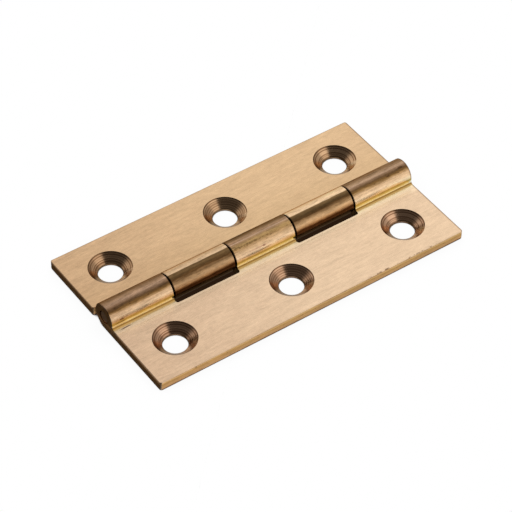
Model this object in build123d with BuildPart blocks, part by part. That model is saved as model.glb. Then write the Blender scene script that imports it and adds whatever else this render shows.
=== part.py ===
from build123d import *
import os

# A solid drawn brass butt hinge, laid open and flat.
# The barrel runs along X, the front leaf lies towards -Y and the rear leaf towards +Y.
# Z = 0 is the underside of both leaves, and the pin axis is straight above the origin.
# All sizes are in millimetres.

# Overall sizes
length = 64.0                 # along the barrel
open_width = 35.0             # across both leaves
leaf_thickness = 1.75
barrel_diameter = 5.2

# Barrel, cut into knuckles that alternate between the leaves
knuckle_count = 5             # the front leaf has the first, the third and the last
knuckle_gap = 0.25            # between two knuckles
notch_clearance = 0.9         # from the barrel to the edge of the leaf across from it
notch_corner_radius = 0.35    # corners of the notches, seen from above
root_radius = 0.5             # hollow between the barrel and the leaf's upper face

# Pin, driven tight into the front leaf and running free in the rear one
pin_diameter = 2.5
pin_grip = 0.005              # how much tighter than the pin the front leaf's bore is, on the radius
pin_play = 0.05               # how much wider than the pin the rear leaf's bore is, on the radius
pin_setback = 0.1             # from each end of the barrel to the end of the pin
pin_chamfer = 0.2

# Countersunk screw holes, in a row on each leaf
screws_per_leaf = 3
screw_hole_diameter = 4.5
countersink_diameter = 7.9
countersink_angle = 100.0
screw_end_distance = 7.8      # from the end of the leaf to the first screw
screw_edge_distance = 7.3     # from the free edge of the leaf to the row

# Small edges
leaf_corner_radius = 0.4      # outer corners, seen from above
edge_break = 0.1              # all round each leaf and each knuckle

# Worked out from the sizes above
barrel_radius = barrel_diameter / 2
axis_height = barrel_radius   # the barrel touches the plane of the underside
leaf_width = open_width / 2
knuckle_pitch = length / knuckle_count
notch_edge = barrel_radius + notch_clearance
screw_row = leaf_width - screw_edge_distance
screw_pitch = (length - 2 * screw_end_distance) / (screws_per_leaf - 1)
front_knuckles = range(0, knuckle_count, 2)
rear_knuckles = range(1, knuckle_count, 2)
FRONT, REAR = -1, 1           # the way each leaf lies along Y


def knuckle_span(index):
    """The low and high X of a knuckle. Each pair of neighbours shares a gap, and the ends are flush."""
    low = index * knuckle_pitch - length / 2
    high = low + knuckle_pitch
    if index > 0:
        low += knuckle_gap / 2
    if index < knuckle_count - 1:
        high -= knuckle_gap / 2
    return low, high


def drawn_section(side):
    """The section of the drawn bar: a leaf towards side * Y with a round barrel along its edge."""
    with BuildSketch(Plane.YZ.offset(-length / 2)) as section:
        with Locations((side * leaf_width / 2, leaf_thickness / 2)):
            Rectangle(leaf_width, leaf_thickness)
        with Locations((0, axis_height)):
            Circle(barrel_radius)
        # The leaf's upper face runs into the barrel in a small hollow.
        upper_corners = section.vertices().group_by(Axis.Y)[-1]
        fillet(upper_corners.sort_by(Axis.X)[0 if side == REAR else -1], root_radius)
    return section.sketch


def leaf_plan(side, knuckles):
    """The leaf seen from above: a plate up to the notch edge, and a tongue for each knuckle."""
    with BuildSketch() as plan:
        with Locations((0, side * (leaf_width + notch_edge) / 2)):
            Rectangle(length, leaf_width - notch_edge)
        for index in knuckles:
            low, high = knuckle_span(index)
            with Locations(((low + high) / 2, side * (leaf_width - barrel_radius) / 2)):
                Rectangle(high - low, leaf_width + barrel_radius)
        fillet(plan.vertices().group_by(Axis.Y)[1], notch_corner_radius)
        fillet(plan.vertices().group_by(Axis.Y)[0 if side == FRONT else -1], leaf_corner_radius)
    return plan.sketch


def is_sharp_rim(edge):
    """Whether an edge of a flat face is a sharp outer one, not an upright or a smooth join along X."""
    if edge.geom_type != GeomType.LINE:
        return True
    along = edge.tangent_at(0)
    upright = abs(along.Z) > 0.5
    smooth_join = abs(along.X) > 0.5 and abs(edge.center().Y) < notch_edge - edge_break
    return not upright and not smooth_join


def make_leaf(side, knuckles, bore_radius):
    """One leaf with its knuckles, cut from the drawn bar, with its edges broken, its bore and its holes."""
    with BuildPart() as leaf:
        extrude(drawn_section(side), amount=length)
        extrude(leaf_plan(side, knuckles), amount=barrel_diameter, mode=Mode.INTERSECT)

        flat_faces = leaf.faces().filter_by(Plane.XY) + leaf.faces().filter_by(Plane.YZ)
        rims = ShapeList(edge for face in flat_faces for edge in face.edges() if is_sharp_rim(edge))
        chamfer(rims, edge_break)

        with BuildSketch(Plane.YZ.offset(-length / 2)):
            with Locations((0, axis_height)):
                Circle(bore_radius)
        extrude(amount=length, mode=Mode.SUBTRACT)

        with Locations((0, side * screw_row, leaf_thickness)):
            with GridLocations(screw_pitch, 0, screws_per_leaf, 1):
                CounterSinkHole(
                    radius=screw_hole_diameter / 2,
                    counter_sink_radius=countersink_diameter / 2,
                    counter_sink_angle=countersink_angle,
                )
    return leaf


os.makedirs("parts", exist_ok=True)

front_leaf = make_leaf(FRONT, front_knuckles, pin_diameter / 2 - pin_grip)
front_leaf.part.label = "front_leaf"
export_step(front_leaf.part, "parts/front_leaf.step")

rear_leaf = make_leaf(REAR, rear_knuckles, pin_diameter / 2 + pin_play)
rear_leaf.part.label = "rear_leaf"
export_step(rear_leaf.part, "parts/rear_leaf.step")

# The pin runs through all the knuckles, with its ends just inside the barrel.
with BuildPart() as hinge_pin:
    with BuildSketch(Plane.YZ.offset(pin_setback - length / 2)):
        with Locations((0, axis_height)):
            Circle(pin_diameter / 2)
    extrude(amount=length - 2 * pin_setback)
    chamfer(hinge_pin.edges().filter_by(GeomType.CIRCLE), pin_chamfer)
hinge_pin.part.label = "hinge_pin"
export_step(hinge_pin.part, "parts/hinge_pin.step")
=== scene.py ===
import math

import bpy
from mathutils import Matrix, Vector

# A solid drawn brass butt hinge, laid open on a plain white floor. All its shapes are CAD nodes,
# and this script gives them their finish, the light and the camera.
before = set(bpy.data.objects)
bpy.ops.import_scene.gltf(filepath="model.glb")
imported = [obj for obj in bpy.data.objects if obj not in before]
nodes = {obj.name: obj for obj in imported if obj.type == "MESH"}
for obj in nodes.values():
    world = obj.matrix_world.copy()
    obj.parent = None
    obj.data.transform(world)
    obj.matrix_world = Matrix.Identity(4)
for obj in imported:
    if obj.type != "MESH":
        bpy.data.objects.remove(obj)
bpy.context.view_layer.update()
scene = bpy.context.scene

# Sizes of the hinge in millimetres, as the CAD source has them. The barrel runs along X, the front
# leaf lies towards -Y, and Z = 0 is the underside.
FRONT, REAR = -1.0, 1.0        # the way each leaf lies along Y
AXIS_HEIGHT = 2.6
BARREL_RADIUS = 2.6
KNUCKLE_PITCH = 12.8
LEAF_THICKNESS = 1.75
LEAF_WIDTH = 17.5
HALF_LENGTH = 32.0
NOTCH_EDGE = 3.5               # from the axis to the wall of a notch
HOLLOW_EDGE = 3.08             # from the axis to where the hollow beside the barrel ends
SCREW_PITCH = 24.2
SCREW_ROW = 10.2               # from the axis to the row of screw holes
RIM_RADIUS = 3.95              # of a countersink
HOLE_RADIUS = 2.25             # of the hole below it

MM_PER_METRE = 1000.0
FLOOR_SIZE = 6.0               # metres
FLOOR_DROP = 0.00005           # metres, which keeps the floor clear of the hinge's underside
SAW_Y, SAW_Z = -16.0, -6.0     # middle of the arcs on the sawn ends, in millimetres
CAMERA_HEADING = Vector((0.580, 0.8146, 0.0))
DARK_CARD = (-0.505, -0.308, 0.806)    # the way from the hinge to it


def rgb(red, green, blue):
    """A screen colour, 0 to 255, as the linear values that shaders take."""
    linear = []
    for value in (red, green, blue):
        v = value / 255
        linear.append(v / 12.92 if v <= 0.04045 else ((v + 0.055) / 1.055) ** 2.4)
    return (*linear, 1.0)


WHITE = (1.0, 1.0, 1.0, 1.0)
FRONT_TAN = rgb(233, 202, 168)
LIT_TAN = rgb(248, 220, 184)
LIT_TAN_NEAREST = rgb(255, 230, 188)
REAR_TAN = rgb(223, 188, 147)
REAR_TAN_NEAR_BARREL = rgb(216, 181, 139)
SAWN_BROWN = rgb(168, 125, 82)
RIM_BROWN = rgb(112, 80, 50)
PIT_BROWN = rgb(88, 60, 40)
FINE_PIT_BROWN = rgb(108, 76, 40)
PAINTED_HIGHLIGHT = rgb(226, 196, 170)
NOTCH_SHADE_BROWN = rgb(64, 44, 28)
SHADE_BROWN = rgb(40, 26, 16)
CONE_DARK = rgb(154, 113, 77)
CONE_LIGHT = rgb(235, 191, 147)
CONE_PAINTED_REFLECTION = rgb(226, 194, 156)
FRONT_CONE_TINT = (1.03, 1.0, 1.10)
WARM_TINT = (1.025, 0.965, 0.95, 1.0)

# Colours of the barrel, by the angle from its top towards the front leaf in degrees. The knuckles
# of each leaf are bright on their own leaf's side and tarnished on the other. The ramps also hold
# painted highlights and painted shade, bands that stand in for reflections of the studio.
UNDERSIDE = rgb(200, 164, 118)
FRONT_KNUCKLES = [
    (-180.0, UNDERSIDE),
    (-50.0, rgb(167, 128, 93)),
    (-30.0, rgb(145, 108, 75)),
    (-16.0, rgb(152, 119, 88)),
    (-6.0, rgb(163, 131, 100)),
    (5.0, rgb(186, 153, 124)),
    (14.0, rgb(150, 118, 90)),
    (23.0, rgb(118, 88, 57)),
    (31.0, rgb(136, 100, 56)),
    (39.0, rgb(186, 147, 100)),
    (46.0, rgb(216, 179, 138)),
    (56.0, rgb(216, 182, 143)),
    (66.0, rgb(238, 206, 166)),
    (73.0, rgb(255, 228, 186)),
    (80.0, rgb(252, 222, 174)),
    (95.0, rgb(240, 200, 130)),
    (180.0, UNDERSIDE),
]
MIDDLE_KNUCKLE = [
    (-180.0, UNDERSIDE),
    (-50.0, rgb(92, 64, 40)),
    (-34.0, rgb(104, 73, 44)),
    (-24.0, rgb(124, 92, 62)),
    (-16.0, rgb(146, 115, 83)),
    (-6.0, rgb(160, 127, 96)),
    (6.0, rgb(168, 134, 105)),
    (13.0, rgb(170, 136, 96)),
    (22.0, rgb(198, 160, 105)),
    (31.0, rgb(194, 154, 102)),
    (38.0, rgb(206, 166, 120)),
    (47.0, rgb(214, 177, 135)),
    (58.0, rgb(210, 176, 138)),
    (66.0, rgb(240, 206, 166)),
    (73.0, rgb(255, 228, 186)),
    (80.0, rgb(250, 218, 168)),
    (95.0, rgb(240, 200, 130)),
    (180.0, UNDERSIDE),
]
REAR_KNUCKLES_BRIGHT = [
    (-180.0, UNDERSIDE),
    (-50.0, rgb(194, 156, 110)),
    (-38.0, rgb(230, 188, 138)),
    (-26.0, rgb(252, 212, 164)),
    (-2.0, rgb(232, 198, 158)),
]
REAR_KNUCKLES_TARNISH_AND_PAINTED_LIGHT = [
    (12.0, rgb(118, 92, 60)),
    (22.0, rgb(97, 73, 45)),
    (30.0, rgb(100, 71, 41)),
    (38.0, rgb(142, 108, 72)),
    (46.0, rgb(172, 136, 96)),
    (54.0, rgb(184, 147, 107)),
    (64.0, rgb(178, 136, 93)),
    (78.0, rgb(68, 42, 21)),
    (86.0, rgb(82, 54, 34)),
    (97.0, rgb(122, 90, 62)),
    (180.0, UNDERSIDE),
]

# Small marks: the place along X in millimetres and on a second scale, half the size on each, the
# colour and the strength. On the knuckles the second scale is the barrel's angle in degrees, and
# on the plate it is Y in millimetres.
KNUCKLE_MARKS = [
    (27.5, 30.0, 0.5, 4.0, PIT_BROWN, 0.7),
    (-0.3, 60.0, 0.35, 4.0, PIT_BROWN, 0.8),
    (-1.6, 60.0, 2.2, 2.5, rgb(190, 140, 112), 0.6),
    (-29.9, 78.0, 0.5, 5.0, rgb(110, 50, 36), 0.7),
    (30.5, 18.0, 0.6, 6.0, rgb(88, 62, 36), 0.8),
]
PLATE_MARK = (-29.8, -3.40, 1.3, 0.13, rgb(96, 56, 48), 0.9)

# Colours of the hollow beside the barrel, with a painted highlight line along it, by the height
# above the underside in millimetres
HOLLOW = [
    (1.76, rgb(214, 176, 112)),
    (1.82, rgb(204, 164, 98)),
    (1.88, rgb(150, 112, 52)),
    (2.02, rgb(138, 100, 42)),
    (2.09, rgb(255, 250, 214)),
    (2.38, rgb(255, 250, 220)),
    (2.52, rgb(206, 180, 110)),
    (2.90, rgb(182, 158, 82)),
]

# Colours of a leaf's long edge, by the same height
LONG_EDGE = [
    (-0.1, rgb(110, 70, 44)),
    (0.12, rgb(160, 114, 74)),
    (0.3, rgb(204, 162, 116)),
    (0.7, rgb(206, 162, 108)),
    (1.1, rgb(198, 155, 98)),
    (1.35, rgb(222, 182, 120)),
    (1.52, rgb(226, 186, 134)),
    (1.66, rgb(170, 122, 80)),
    (1.76, rgb(210, 170, 128)),
]

# How dark the floor is, from 0 to 1, by how much open sky there is over it
NARROW = [(at, (dark, dark, dark, 1.0)) for at, dark in
          ((0.0, 1.0), (0.38, 1.0), (0.50, 0.035), (0.98, 0.0), (1.0, 0.0))]


class Graph:
    """Adds nodes to a node tree and links what they are given: sockets or plain values."""

    def __init__(self, tree):
        self.tree = tree
        self.nodes = tree.nodes

    def put(self, socket, value):
        if isinstance(value, bpy.types.NodeSocket):
            self.tree.links.new(value, socket)
        elif value is not None:
            socket.default_value = value

    def place(self):
        """The shaded point in CAD millimetres, and the way the surface faces there."""
        node = self.nodes.new("ShaderNodeTexCoord")
        return self.scale(node.outputs["Object"], MM_PER_METRE), node.outputs["Normal"]

    def math(self, operation, a, b=None):
        node = self.nodes.new("ShaderNodeMath")
        node.operation = operation
        self.put(node.inputs[0], a)
        self.put(node.inputs[1], b)
        return node.outputs[0]

    def add(self, first, *others):
        for value in others:
            first = self.math("ADD", first, value)
        return first

    def mul(self, first, *others):
        for value in others:
            first = self.math("MULTIPLY", first, value)
        return first

    def sub(self, a, b):
        return self.math("SUBTRACT", a, b)

    def size(self, a):
        return self.math("ABSOLUTE", a)

    def length(self, a, b):
        return self.math("SQRT", self.add(self.mul(a, a), self.mul(b, b)))

    def step(self, value, low, high, to_low=0.0, to_high=1.0, smooth=True):
        """Goes from to_low to to_high as value goes from low to high."""
        node = self.nodes.new("ShaderNodeMapRange")
        node.interpolation_type = "SMOOTHSTEP" if smooth else "LINEAR"
        for name, v in (("Value", value), ("From Min", low), ("From Max", high),
                        ("To Min", to_low), ("To Max", to_high)):
            self.put(node.inputs[name], v)
        return node.outputs["Result"]

    def window(self, value, low, full_low, full_high, high):
        """1 between full_low and full_high, and 0 outside low and high."""
        return self.mul(self.step(value, low, full_low),
                        self.step(value, full_high, high, 1.0, 0.0))

    def vector(self, x, y, z):
        node = self.nodes.new("ShaderNodeCombineXYZ")
        for socket, value in zip(node.inputs, (x, y, z)):
            self.put(socket, value)
        return node.outputs[0]

    def split(self, vector):
        node = self.nodes.new("ShaderNodeSeparateXYZ")
        self.put(node.inputs[0], vector)
        return node.outputs

    def noise(self, vector, detail, rough, scale=1.0):
        node = self.nodes.new("ShaderNodeTexNoise")
        self.put(node.inputs["Vector"], vector)
        node.inputs["Scale"].default_value = scale
        node.inputs["Detail"].default_value = detail
        node.inputs["Roughness"].default_value = rough
        return node.outputs[0]

    def around_zero(self, noise, amount):
        """The noise, 0 to 1, as a change of up to half the amount either way."""
        return self.mul(self.sub(noise, 0.5), amount)

    def mix(self, factor, a, b, kind="RGBA"):
        """From a to b as the factor goes from 0 to 1. They are colours, or vectors."""
        node = self.nodes.new("ShaderNodeMix")
        node.data_type = kind
        first_input, output = {"VECTOR": (4, 1), "RGBA": (6, 2)}[kind]
        self.put(node.inputs[0], factor)
        self.put(node.inputs[first_input], a)
        self.put(node.inputs[first_input + 1], b)
        return node.outputs[output]

    def mix_shaders(self, factor, a, b):
        node = self.nodes.new("ShaderNodeMixShader")
        for socket, value in zip(node.inputs, (factor, a, b)):
            self.put(socket, value)
        return node.outputs[0]

    def scale(self, vector, factor):
        node = self.nodes.new("ShaderNodeVectorMath")
        node.operation = "SCALE"
        self.put(node.inputs[0], vector)
        self.put(node.inputs["Scale"], factor)
        return node.outputs[0]

    def tint(self, vector, factors):
        """Scales each part of the vector by its own factor."""
        node = self.nodes.new("ShaderNodeVectorMath")
        node.operation = "MULTIPLY"
        self.put(node.inputs[0], vector)
        self.put(node.inputs[1], factors)
        return node.outputs[0]

    def ramp(self, value, stops):
        """Colours along value, from (value, colour) stops."""
        low, high = stops[0][0], stops[-1][0]
        node = self.nodes.new("ShaderNodeValToRGB")
        node.color_ramp.interpolation = "EASE"
        elements = node.color_ramp.elements
        while len(elements) < len(stops):
            elements.new(0.5)
        for element, (at, colour) in zip(elements, stops):
            element.position = (at - low) / (high - low)
            element.color = colour
        self.put(node.inputs[0], self.step(value, low, high, smooth=False))
        return node.outputs[0]

    def bump(self, height, strength, distance, normal=None):
        node = self.nodes.new("ShaderNodeBump")
        node.inputs["Strength"].default_value = strength
        node.inputs["Distance"].default_value = distance
        self.put(node.inputs["Height"], height)
        self.put(node.inputs["Normal"], normal)
        return node.outputs[0]


class LeafGraph(Graph):
    """The nodes of one leaf, with where the shaded point lies on it and the grain of its metal.
    Names that start with in_ or on_ are 1 on that part of the leaf and 0 elsewhere."""

    def __init__(self, tree, side):
        super().__init__(tree)
        self.side = side
        point, normal = self.place()
        self.x, self.y, self.z = self.split(point)
        normal_x, normal_y, normal_z = self.split(normal)
        self.facing_x = self.size(normal_x)
        self.across = self.mul(self.y, side)

        # The barrel, with the angle in degrees from its top towards the front leaf
        up = self.sub(self.z, AXIS_HEIGHT)
        radius = self.length(up, self.y)
        self.angle = self.mul(self.math("ARCTAN2", self.mul(self.y, -1.0), up), 180 / math.pi)
        self.on_barrel = self.step(radius, BARREL_RADIUS + 0.04, BARREL_RADIUS + 0.12, 1.0, 0.0)

        # The long edges with the notch walls, the cut ends, and the hollow beside the barrel
        self.on_edge = self.mul(self.step(self.size(normal_y), 0.9, 0.98),
                                self.step(radius, BARREL_RADIUS + 0.1, BARREL_RADIUS + 0.3))
        self.on_end = self.step(self.facing_x, 0.8, 0.95)
        self.in_hollow = self.mul(
            self.window(self.across, 2.30, 2.50, HOLLOW_EDGE - 0.04, HOLLOW_EDGE + 0.04),
            self.window(self.z, LEAF_THICKNESS - 0.05, LEAF_THICKNESS, 2.85, 3.15))

        # The nearest screw hole, and the rings that the cutter left in it
        hole = self.mul(self.math("ROUND", self.math("DIVIDE", self.x, SCREW_PITCH)), SCREW_PITCH)
        self.from_x = self.sub(self.x, hole)
        self.from_y = self.sub(self.y, side * SCREW_ROW)
        self.reach = self.length(self.from_x, self.from_y)
        self.in_hole = self.mul(
            self.step(self.reach, RIM_RADIUS - 0.02, RIM_RADIUS + 0.02, 1.0, 0.0),
            self.step(normal_z, -0.6, -0.4))
        uneven = self.noise(
            self.vector(self.mul(self.reach, 5.0), self.mul(hole, 3.0), 0.0),
            detail=2.0, rough=0.7)
        regular = self.mul(self.math("SINE", self.mul(self.reach, 21.0)), 0.06)
        self.rings = self.add(self.mul(uneven, 0.7), self.add(regular, 0.15))

        # The grain from drawing and brushing runs along X, and sways a little.
        sway = self.noise(point, detail=2.0, rough=0.5, scale=0.09)
        swayed = self.add(self.y, self.around_zero(sway, 1.4))
        self.fine = self.grain(0.40, 1.9, detail=2.0, rough=0.6, y=swayed)
        self.broad = self.grain(0.11, 0.8, detail=2.0, rough=0.5, y=swayed)
        self.cloud = self.grain(0.22, 0.4, detail=3.0, rough=0.55, y=swayed)
        self.mottle = self.grain(1.3, 2.2, detail=4.0, rough=0.7, y=swayed)
        self.streaks = self.grain(0.30, 4.2, detail=3.0, rough=0.65, y=swayed)
        self.blotch = self.sub(self.grain(0.35, 1.3, detail=4.0, rough=0.65), 0.5)

    def grain(self, along, across, detail, rough, y=None):
        """Noise that changes along times per millimetre of X, and across times per millimetre
        of Y and Z."""
        y = self.y if y is None else y
        return self.noise(
            self.vector(self.mul(self.x, along), self.mul(y, across), self.mul(self.z, across)),
            detail, rough)

    def mark(self, colour, second, at_x, at_second, half_x, half_second, paint, strength):
        """Puts a small ragged mark on the colour, at a place along X and on a second scale."""
        away = self.length(self.mul(self.sub(self.x, at_x), 1 / half_x),
                           self.mul(self.sub(second, at_second), 1 / half_second))
        ragged = self.add(away, self.around_zero(self.fine, 1.2))
        return self.mix(self.step(ragged, 0.4, 1.1, strength, 0.0), colour, paint)

    def towards(self, degrees):
        """1 on the side of each hole that lies this way from its middle, from +X towards +Y, and
        -1 across from it."""
        turn = math.radians(degrees)
        along = self.add(self.mul(self.from_x, math.cos(turn)),
                         self.mul(self.from_y, math.sin(turn)))
        return self.math("DIVIDE", along, self.math("MAXIMUM", self.reach, 0.5))


def new_material(name):
    material = bpy.data.materials.new(name)
    material.use_nodes = True
    return material


def sawn_colour(g, x, y, z):
    """The brown of the cut ends, with the faint arcs of the saw, painted shade and a painted
    highlight.
    """
    from_saw = g.length(g.sub(y, SAW_Y), g.sub(z, SAW_Z))
    arcs = g.noise(g.vector(g.mul(from_saw, 2.2), g.mul(x, 0.1), g.mul(z, 0.25)),
                   detail=2.0, rough=0.6)
    # The saw's arcs, and painted shade darker towards the bottom
    shade = g.mul(g.step(arcs, 0.3, 0.7, 0.86, 1.12), g.step(z, 0.1, 0.6, 0.35, 1.0))
    # A painted highlight in a band just below the top of the leaf, strongest on the front leaf
    top_highlight = g.mul(g.window(z, 1.15, 1.4, 1.76, 1.9), g.step(y, -6.0, -3.6, 2.2, 1.0))
    # Painted shade: the ends of the knuckles inside the barrel are darker than the two outer ones.
    outer = g.step(g.size(x), HALF_LENGTH - 1.5, HALF_LENGTH - 0.5, 0.45, 1.0)
    return g.scale(SAWN_BROWN[:3], g.mul(shade, g.add(top_highlight, 1.0), outer))


def front_colours(g):
    """The colours of the front leaf's knuckles and of its plate."""
    x, angle, across = g.x, g.angle, g.across
    shaken = g.add(angle, g.mul(g.blotch, g.step(angle, 44.0, 60.0, 16.0, 4.0)))

    # The middle knuckle is worn bright where the two at the ends are tarnished. On the left end
    # the tarnished band lies a little further towards the leaf. Both ramps also paint highlights
    # and shade.
    left_shift = g.mul(g.step(x, -22.0, -18.0, -5.0, 0.0), g.window(angle, 0.0, 16.0, 40.0, 52.0))
    knuckles = g.mix(g.step(g.size(x), 6.5, 12.0), g.ramp(shaken, MIDDLE_KNUCKLE),
                     g.ramp(g.add(shaken, left_shift), FRONT_KNUCKLES))

    # Pits all along the tarnished band, and a row of finer ones on the middle knuckle
    pits = g.grain(1.1, 3.2, detail=1.0, rough=0.5)
    in_band = g.window(angle, 20.0, 26.0, 36.0, 46.0)
    knuckles = g.mix(g.mul(g.step(pits, 0.60, 0.70), in_band, 0.6), knuckles, PIT_BROWN)
    fine_pits = g.grain(2.4, 4.5, detail=2.0, rough=0.6)
    in_row = g.mul(g.window(angle, 22.0, 27.0, 30.0, 35.0), g.window(x, -7.5, -6.0, 1.0, 6.0))
    knuckles = g.mix(g.mul(g.step(fine_pits, 0.40, 0.60), in_row, 0.6), knuckles, FINE_PIT_BROWN)

    # A thin painted highlight along the top of the middle knuckle
    on_middle = g.step(g.size(x), KNUCKLE_PITCH / 2 - 0.1, KNUCKLE_PITCH / 2, 1.0, 0.0)
    in_line = g.mul(g.window(angle, 1.5, 3.5, 4.5, 6.5), on_middle)
    knuckles = g.mix(g.mul(in_line, 0.35), knuckles, PAINTED_HIGHLIGHT)
    for mark in KNUCKLE_MARKS:
        knuckles = g.mark(knuckles, angle, *mark)

    # Painted light: the plate is lighter close to the knuckles, where the barrel hides part of what
    # it reflects.
    lit_near_knuckles = g.mix(g.step(across, 3.3, 3.8), LIT_TAN_NEAREST, LIT_TAN)
    plate = g.mix(g.window(across, 2.9, 3.1, 4.2, 5.0), FRONT_TAN, lit_near_knuckles)
    return knuckles, g.mark(plate, g.y, *PLATE_MARK)


def rear_colours(g):
    """The colours of the rear leaf's knuckles and of its plate."""
    x, angle = g.x, g.angle
    steady = g.add(angle, g.mul(g.blotch, 5.0), g.step(x, -14.0, 8.0, 2.5, 0.0))
    shaken = g.add(angle, g.mul(g.blotch, 18.0))
    # The ramps paint tarnish together with painted highlights and painted shade.
    knuckles = g.mix(g.step(steady, 3.0, 7.0), g.ramp(angle, REAR_KNUCKLES_BRIGHT),
                     g.ramp(shaken, REAR_KNUCKLES_TARNISH_AND_PAINTED_LIGHT))

    # The right knuckle is the lighter one, but in a band just in front of the top the left one is.
    band = g.mul(g.window(angle, 8.0, 14.0, 30.0, 40.0), g.step(x, -12.0, 12.0, 0.36, -0.12))
    knuckles = g.scale(knuckles, g.add(g.step(x, -16.0, 16.0, 0.90, 1.08), band))
    plate = g.mix(g.step(g.across, NOTCH_EDGE, 12.0), REAR_TAN_NEAR_BARREL, REAR_TAN)
    return knuckles, plate


def with_edges(g, colour):
    """Adds the thin dark lines along the leaf's free edge and right end, and the colours of its
    long edges and notch walls, with a few nicks."""
    nicks = g.noise(g.vector(g.mul(g.x, 0.9), g.mul(g.z, 1.6), 3.0), detail=2.0, rough=0.6)
    dark_line = g.step(g.across, LEAF_WIDTH - 0.26, LEAF_WIDTH - 0.16, 0.0, 0.4)
    if g.side == FRONT:
        # Along the front edge the line is short and broken.
        broken = g.mul(g.step(nicks, 0.46, 0.62), g.window(g.x, 8.0, 16.0, 24.0, 28.0))
        dark_line = g.mul(dark_line, g.add(g.mul(broken, 2.0), 0.1))
    right_end = g.step(g.x, HALF_LENGTH - 0.34, HALF_LENGTH - 0.20, 0.0, 0.6)
    colour = g.mix(g.math("MAXIMUM", dark_line, right_end), colour, RIM_BROWN)

    wander = g.noise(g.vector(g.mul(g.x, 0.15), g.mul(g.z, 1.2), 8.0), detail=3.0, rough=0.6)
    golden = g.ramp(g.add(g.z, g.around_zero(wander, 0.8)), LONG_EDGE)
    # Lighter towards the left end, which cancels the painted shade that with_tone puts there
    golden = g.scale(golden, g.step(g.x, -36.0, 12.0, 1.26, 0.98))
    golden = g.mix(g.step(nicks, 0.62, 0.72, 0.0, 0.5), golden, PIT_BROWN)
    return g.mix(g.on_edge, colour, golden)


def turned_colour(g):
    """The colour of the turned countersinks and of the holes below them, with painted light and
    shade.
    """
    turned = g.mix(g.step(g.rings, 0.38, 0.62), CONE_DARK, CONE_LIGHT)
    # A thin ring of painted shade just inside the rim
    turned = g.mix(g.step(g.reach, RIM_RADIUS - 0.14, RIM_RADIUS - 0.03), turned, RIM_BROWN)

    # Painted reflection: these two parts mirror each other, which would make them redder than the
    # rest, so they are painted paler.
    inner = g.step(g.reach, 3.1, 3.4, 1.0, 0.0)
    mirrored = g.math("MAXIMUM", g.step(g.towards(304.0), 0.90, 0.97, 0.0, 0.62),
                      g.mul(g.step(g.towards(166.0), 0.88, 0.96, 0.0, 0.4), inner))
    turned = g.mix(mirrored, turned, CONE_PAINTED_REFLECTION)
    # A painted highlight on the side towards 306 degrees
    turned = g.scale(turned, g.step(g.towards(306.0), 0.92, 0.99, 1.0, 1.5))

    # Painted shade: the side nearest the camera, which it only grazes, is darker, and so are the
    # wall of the hole itself and the outer ring on the side towards 168 degrees.
    grazed = g.mul(g.step(g.towards(212.0), 0.55, 0.92, 1.0, 0.55),
                   g.step(g.reach, HOLE_RADIUS + 0.03, HOLE_RADIUS + 0.11, 0.30, 1.0))
    outer = g.mul(g.step(g.towards(168.0), 0.70, 0.93), g.sub(1.0, inner))
    turned = g.scale(turned, g.mul(grazed, g.sub(1.0, g.mul(outer, 0.22))))
    return g.tint(turned, FRONT_CONE_TINT) if g.side == FRONT else turned


def with_notch_shade(g, colour):
    """Adds painted shade inside the notches."""
    in_notch = g.mul(g.window(g.across, 2.2, 2.4, NOTCH_EDGE + 0.02, NOTCH_EDGE + 0.10),
                     g.math("MAXIMUM", g.step(g.z, 1.60, 1.68, 1.0, 0.0),
                            g.step(g.facing_x, 0.1, 0.4)))
    inside = g.step(g.size(g.x), HALF_LENGTH - 1.0, HALF_LENGTH - 0.5, 1.0, 0.0)
    return g.mix(g.mul(in_notch, inside, 0.75), colour, NOTCH_SHADE_BROWN)


def with_tone(g, colour):
    """Adds the grain and clouds of the metal, and paints shade on the left end, which is darker and
    warmer.
    """
    tone = g.add(g.around_zero(g.fine, 0.34), g.around_zero(g.broad, 0.14),
                 g.around_zero(g.cloud, 0.14), g.around_zero(g.streaks, 0.26),
                 g.around_zero(g.mottle, 0.34))
    tone = g.mul(tone, g.step(g.in_hole, 0.0, 1.0, 1.0, 0.25))
    worn = g.add(g.step(g.streaks, 0.35, 0.65, -0.09, 0.09), g.mul(g.blotch, 0.5),
                 g.around_zero(g.mottle, 0.45))
    tone = g.add(tone, g.mul(worn, g.on_barrel))
    # The barrel is handled less, and is more even, on its back and underside.
    hidden = g.mul(g.on_barrel, g.sub(1.0, g.window(g.angle, -48.0, -20.0, 85.0, 110.0)))
    tone = g.mul(tone, g.sub(1.0, g.mul(hidden, 0.7)))
    # Painted shade, darker towards the left end
    tone = g.add(tone, g.step(g.x, -44.0, 20.0, 0.79, 1.0))

    # The painted shade at the left end is warmer too; the rest of the warmth changes at random
    warmth = g.add(g.step(g.x, -40.0, 10.0, 0.8, 0.0), g.mul(g.sub(g.mottle, g.cloud), 0.6))
    colour = g.tint(colour, g.mix(warmth, WHITE, WARM_TINT))
    return g.scale(colour, tone)


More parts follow.
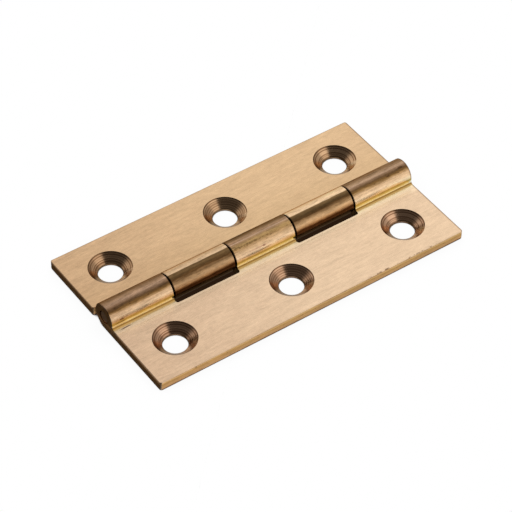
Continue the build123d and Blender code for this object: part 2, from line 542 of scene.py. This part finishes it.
def brass(name, side):
    """The finish of one leaf, which lies towards side * Y."""
    material = new_material(name)
    g = LeafGraph(material.node_tree, side)
    inputs = g.nodes["Principled BSDF"].inputs
    knuckles, plate = front_colours(g) if side == FRONT else rear_colours(g)
    colour = with_edges(g, g.mix(g.on_barrel, plate, knuckles))
    # The hollow's colours, with the painted highlight, are lighter towards the left end, which
    # largely offsets the painted shade put there
    gold = g.scale(g.ramp(g.z, HOLLOW), g.step(g.x, -34.0, -4.0, 1.22, 1.0))
    colour = g.mix(g.in_hollow, colour, gold)
    colour = g.mix(g.in_hole, colour, turned_colour(g))
    colour = g.mix(g.on_end, colour, sawn_colour(g, g.x, g.y, g.z))
    # Painted shade inside the notches
    colour = with_notch_shade(g, colour)
    g.put(inputs["Base Color"], with_tone(g, colour))
    inputs["Metallic"].default_value = 1.0

    # The hollow and the countersinks are smoother than the rest, and the sawn ends rougher.
    rough = g.add(0.27, g.around_zero(g.fine, 0.14))
    rough = g.sub(rough, g.add(g.mul(g.in_hollow, 0.10), g.mul(g.in_hole, 0.04)))
    g.put(inputs["Roughness"], g.add(rough, g.mul(g.on_end, 0.15)))

    # Highlights stretch across the grain, which runs along X on the leaves and round each hole.
    inputs["Specular Tint"].default_value = (0.70, 0.60, 0.48, 1.0)
    inputs["Anisotropic"].default_value = 0.4
    inputs["Anisotropic Rotation"].default_value = 0.25
    round_hole = g.vector(g.mul(g.from_y, -1.0), g.from_x, 0.0)
    g.put(inputs["Tangent"], g.mix(g.in_hole, g.vector(1.0, 0.0, 0.0), round_hole, "VECTOR"))

    relief = g.bump(g.fine, strength=0.25, distance=0.00002)
    relief = g.bump(g.mul(g.in_hole, g.rings), strength=0.5, distance=0.00004, normal=relief)
    if side == FRONT:
        # The leaf rises a little towards its knuckles.
        rise = g.mul(g.step(g.across, 2.70, 4.15, 0.17, 0.0), g.step(g.z, 0.8, 1.6))
        relief = g.bump(rise, strength=1.0, distance=0.001, normal=relief)
    g.put(inputs["Normal"], relief)
    return material


def pin_brass():
    """The ends of the pin, cut and dulled like the ends of the barrel round them."""
    material = new_material("pin_brass")
    g = Graph(material.node_tree)
    inputs = g.nodes["Principled BSDF"].inputs
    point, _ = g.place()
    x, y, z = g.split(point)
    spots = g.noise(point, detail=3.0, rough=0.6, scale=1.6)
    from_axis = g.length(y, g.sub(z, AXIS_HEIGHT))
    shade = g.mul(g.step(spots, 0.3, 0.7, 0.75, 1.0), g.step(from_axis, 0.98, 1.08, 0.95, 0.8))
    g.put(inputs["Base Color"], g.scale(sawn_colour(g, x, y, z), shade))
    inputs["Metallic"].default_value = 1.0
    g.put(inputs["Roughness"], g.add(0.40, g.mul(spots, 0.15)))
    return material


def add_camera():
    data = bpy.data.cameras.new("camera")
    data.lens = 169.23
    data.sensor_width = 36.0
    data.clip_start = 0.01
    data.clip_end = 20.0
    camera = bpy.data.objects.new("camera", data)
    camera.location = (-0.17379, -0.24363, 0.30002)
    camera.rotation_euler = [math.radians(a) for a in (44.843, -0.471, -34.968)]
    scene.collection.objects.link(camera)
    scene.camera = camera


def add_lamp(name, along, right, up, size, radiance):
    """A soft box that faces the hinge. along, right and up give its place in metres as seen from
    the camera, along being away from the camera over the floor."""
    upright = Vector((0.0, 0.0, 1.0))
    aside = CAMERA_HEADING.cross(upright)
    place = CAMERA_HEADING * along + aside * right + upright * up
    z_axis = place.normalized()
    x_axis = upright.cross(z_axis).normalized()
    y_axis = z_axis.cross(x_axis)
    data = bpy.data.lights.new(name, "AREA")
    data.shape = "RECTANGLE"
    data.size, data.size_y = size
    data.energy = radiance * math.pi * size[0] * size[1]
    lamp = bpy.data.objects.new(name, data)
    turn = Matrix((x_axis, y_axis, z_axis)).transposed().to_4x4()
    lamp.matrix_world = Matrix.Translation(place) @ turn
    lamp.visible_camera = False
    scene.collection.objects.link(lamp)


def add_world():
    """A white tent: a bright strip from front to back over the right half, greyer sides, and a dark
    card up on the left. The camera sees plain white."""
    world = bpy.data.worlds.new("studio")
    scene.world = world
    world.use_nodes = True
    g = Graph(world.node_tree)
    g.nodes.clear()
    way = g.nodes.new("ShaderNodeTexCoord").outputs["Generated"]
    x, y, _ = g.split(way)

    # The sides, which are darkest at the card and lightest at the back
    to_card = g.nodes.new("ShaderNodeVectorMath")
    to_card.operation = "DOT_PRODUCT"
    g.put(to_card.inputs[0], way)
    g.put(to_card.inputs[1], DARK_CARD)
    tent = g.add(g.step(to_card.outputs["Value"], 0.34, 0.74, 0.45, 0.07),
                 g.step(y, 0.5, 0.9, 0.0, 0.2))

    # The strip, which is brightest at the front and wider at the back
    from_edge = g.sub(x, g.step(y, -0.1, 0.5, 0.0, -0.5))
    in_strip = g.mul(g.step(from_edge, 0.12, 0.29), g.step(x, 0.66, 0.86, 1.0, 0.0))
    strip = g.add(g.step(y, -0.85, -0.65, 0.38, 0.0), 0.78)
    light = g.add(g.mul(tent, g.sub(1.0, in_strip)), g.mul(in_strip, strip))

    seen = g.nodes.new("ShaderNodeLightPath").outputs["Is Camera Ray"]
    sky = g.nodes.new("ShaderNodeBackground")
    sky.inputs["Color"].default_value = WHITE
    g.put(sky.inputs["Strength"], g.add(seen, g.mul(light, g.sub(1.0, seen))))
    out = g.nodes.new("ShaderNodeOutputWorld")
    g.put(out.inputs["Surface"], sky.outputs[0])


def add_floor():
    """A white floor just under the hinge. The camera sees it plain white but for a soft shade close
    to the hinge, and dark in the narrow places under the barrel."""
    half = FLOOR_SIZE / 2
    corners = [(-half, -half, 0), (half, -half, 0), (half, half, 0), (-half, half, 0)]
    mesh = bpy.data.meshes.new("floor")
    mesh.from_pydata(corners, [], [(0, 1, 2, 3)])
    floor = bpy.data.objects.new("floor", mesh)
    floor.location.z = -FLOOR_DROP
    scene.collection.objects.link(floor)
    material = new_material("floor")
    mesh.materials.append(material)
    g = Graph(material.node_tree)
    g.nodes.clear()
    open_sky = g.nodes.new("ShaderNodeAmbientOcclusion")
    open_sky.samples = 32
    open_sky.inputs["Distance"].default_value = 0.02
    narrow = g.ramp(open_sky.outputs["AO"], NARROW)

    # What the camera sees: nothing in the open, so that the white world shows, and a shade
    clear = g.nodes.new("ShaderNodeBsdfTransparent")
    shade = g.nodes.new("ShaderNodeEmission")
    shade.inputs["Color"].default_value = SHADE_BROWN
    seen = g.mix_shaders(narrow, clear.outputs[0], shade.outputs[0])

    # What the metal reflects: brightest in front of the hinge, and dark in narrow places and to
    # the left of it
    point, _ = g.place()
    x, y, _ = g.split(point)
    light = g.add(g.step(x, -HALF_LENGTH - 0.5, -HALF_LENGTH + 0.5, 0.13, 0.8),
                  g.step(y, -30.0, -22.0, 0.25, 0.0))
    mirrored = g.nodes.new("ShaderNodeEmission")
    g.put(mirrored.inputs["Strength"], g.mul(light, g.sub(1.0, g.mul(narrow, 0.8))))

    # What other light meets
    solid = g.nodes.new("ShaderNodeBsdfDiffuse")
    solid.inputs["Color"].default_value = (0.85, 0.85, 0.85, 1.0)
    path = g.nodes.new("ShaderNodeLightPath").outputs
    unseen = g.mix_shaders(path["Is Glossy Ray"], solid.outputs[0], mirrored.outputs[0])
    out = g.nodes.new("ShaderNodeOutputMaterial")
    g.put(out.inputs["Surface"], g.mix_shaders(path["Is Camera Ray"], unseen, seen))


add_camera()
add_world()
add_lamp("back", along=0.65, right=0.10, up=0.66, size=(1.05, 0.55), radiance=0.28)
add_lamp("side", along=-0.19, right=0.675, up=0.385, size=(0.68, 0.76), radiance=0.14)
add_floor()
nodes["front_leaf"].material_slots[0].material = brass("front_brass", FRONT)
nodes["rear_leaf"].material_slots[0].material = brass("rear_brass", REAR)
nodes["hinge_pin"].material_slots[0].material = pin_brass()

scene.view_settings.view_transform = "Standard"
